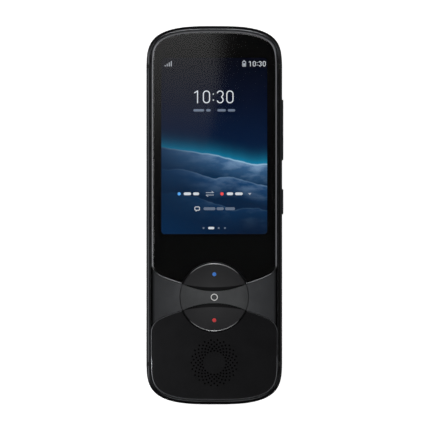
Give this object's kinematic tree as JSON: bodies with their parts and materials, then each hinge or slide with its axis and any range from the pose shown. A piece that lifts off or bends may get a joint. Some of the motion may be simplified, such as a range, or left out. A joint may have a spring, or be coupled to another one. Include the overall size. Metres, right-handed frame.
{
  "type": "handheld translator",
  "caption": "Slim bar-shaped handheld voice translator with a tall screen, a round cluster of sprung talk and home keys, a speaker, side buttons, a rear camera and a card tray.",
  "frame": {"origin": "middle of the flat back face", "axes": "+Z out of the screen, +Y towards the top end, +X towards the side buttons"},
  "size_m": [0.0525, 0.145, 0.013],
  "materials": {
    "black_glass": "polished cover glass with a black print round the screen",
    "gasket": "matt adhesive foam",
    "display": "lit display panel",
    "backlight_tray": "white reflector tray",
    "flex": "polyimide flexible circuit",
    "grey_trim": "satin moulded plastic",
    "black_cover": "fine-grained moulded plastic",
    "mesh_cloth": "woven black mesh",
    "port_black": "glass-filled plastic",
    "key_black": "satin moulded plastic",
    "blue_lens": "clear tinted light guide",
    "red_lens": "clear tinted light guide",
    "key_grey": "satin moulded plastic",
    "legend_white": "white light guide",
    "board": "solder mask on glass-fibre board",
    "dome_steel": "stamped spring steel",
    "cast_metal": "die-cast light alloy",
    "frame_metal": "black anodised, satin",
    "break_plastic": "moulded plastic",
    "back_plastic": "soft satin moulded plastic",
    "ring_metal": "turned and anodised",
    "camera_glass": "coated glass",
    "camera_black": "moulded lens holder",
    "stamped_metal": "tinned stamped sheet",
    "flash_clear": "clear ribbed lens",
    "led_phosphor": "phosphor",
    "button_metal": "black anodised, satin",
    "battery_foil": "black laminated pouch",
    "tape_white": "pull tape",
    "steel": "stainless steel",
    "boot_rubber": "moulded silicone"
  },
  "bodies": {
    "housing": {"front_glass": "black_glass", "glass_gasket": "gasket", "lcd_panel": "display", "backlight": "backlight_tray", "display_ribbon": "flex", "waist_trim": "grey_trim", "speaker_cover": "black_cover", "speaker_mesh": "mesh_cloth", "speaker_gasket": "gasket", "speaker_module": "port_black", "key_board": "board", "key_domes": "dome_steel", "chassis": "cast_metal", "frame_top_cap": "frame_metal", "frame_bottom_cap": "frame_metal", "frame_left_rail": "frame_metal", "frame_right_rail": "frame_metal", "antenna_breaks": "break_plastic", "rear_cover": "back_plastic", "camera_ring": "ring_metal", "camera_window": "camera_glass", "camera_module": "camera_black", "camera_bracket": "stamped_metal", "flash_lens": "flash_clear", "flash_led": "led_phosphor", "flash_board": "board", "main_board": "board", "processor_shield": "stamped_metal", "charger_shield": "stamped_metal", "sim_reader": "stamped_metal", "battery": "battery_foil", "battery_adhesive": "tape_white", "battery_board": "board", "battery_lead": "flex", "vibration_motor": "steel", "lower_board": "board", "usb_shell": "steel", "usb_tongue": "port_black", "audio_jack": "port_black", "microphones": "boot_rubber", "side_switch_strip": "flex", "side_switches": "dome_steel", "screws": "steel"},
    "blue_key": {"blue_key": "key_black", "blue_light_guide": "blue_lens"},
    "red_key": {"red_key": "key_black", "red_light_guide": "red_lens"},
    "home_key": {"home_key": "key_grey", "home_legend": "legend_white"},
    "volume_rocker": {"volume_rocker": "button_metal"},
    "power_button": {"power_button": "button_metal"},
    "sim_tray": {"sim_tray": "button_metal"}
  },
  "joints": [
    {"name": "blue_key_press", "type": "slide", "parent": "housing", "child": "blue_key", "axis": [0, 0, -1], "range_m": [0, 0.0003], "stiffness_N_per_m": 1500},
    {"name": "red_key_press", "type": "slide", "parent": "housing", "child": "red_key", "axis": [0, 0, -1], "range_m": [0, 0.0003], "stiffness_N_per_m": 1500},
    {"name": "home_key_press", "type": "slide", "parent": "housing", "child": "home_key", "axis": [0, 0, -1], "range_m": [0, 0.0003], "stiffness_N_per_m": 1500},
    {"name": "volume_rock", "type": "hinge", "parent": "housing", "child": "volume_rocker", "pos_m": [0.0244, 0.0327, 0.00836], "axis": [0, 0, 1], "range_deg": [-1.2, 1.2], "stiffness_Nm_per_rad": 0.6},
    {"name": "power_press", "type": "slide", "parent": "housing", "child": "power_button", "axis": [-1, 0, 0], "range_m": [0, 0.0003], "stiffness_N_per_m": 1200},
    {"name": "sim_tray_slide", "type": "slide", "parent": "housing", "child": "sim_tray", "axis": [-1, 0, 0], "range_m": [0, 0.0145]}
  ]
}
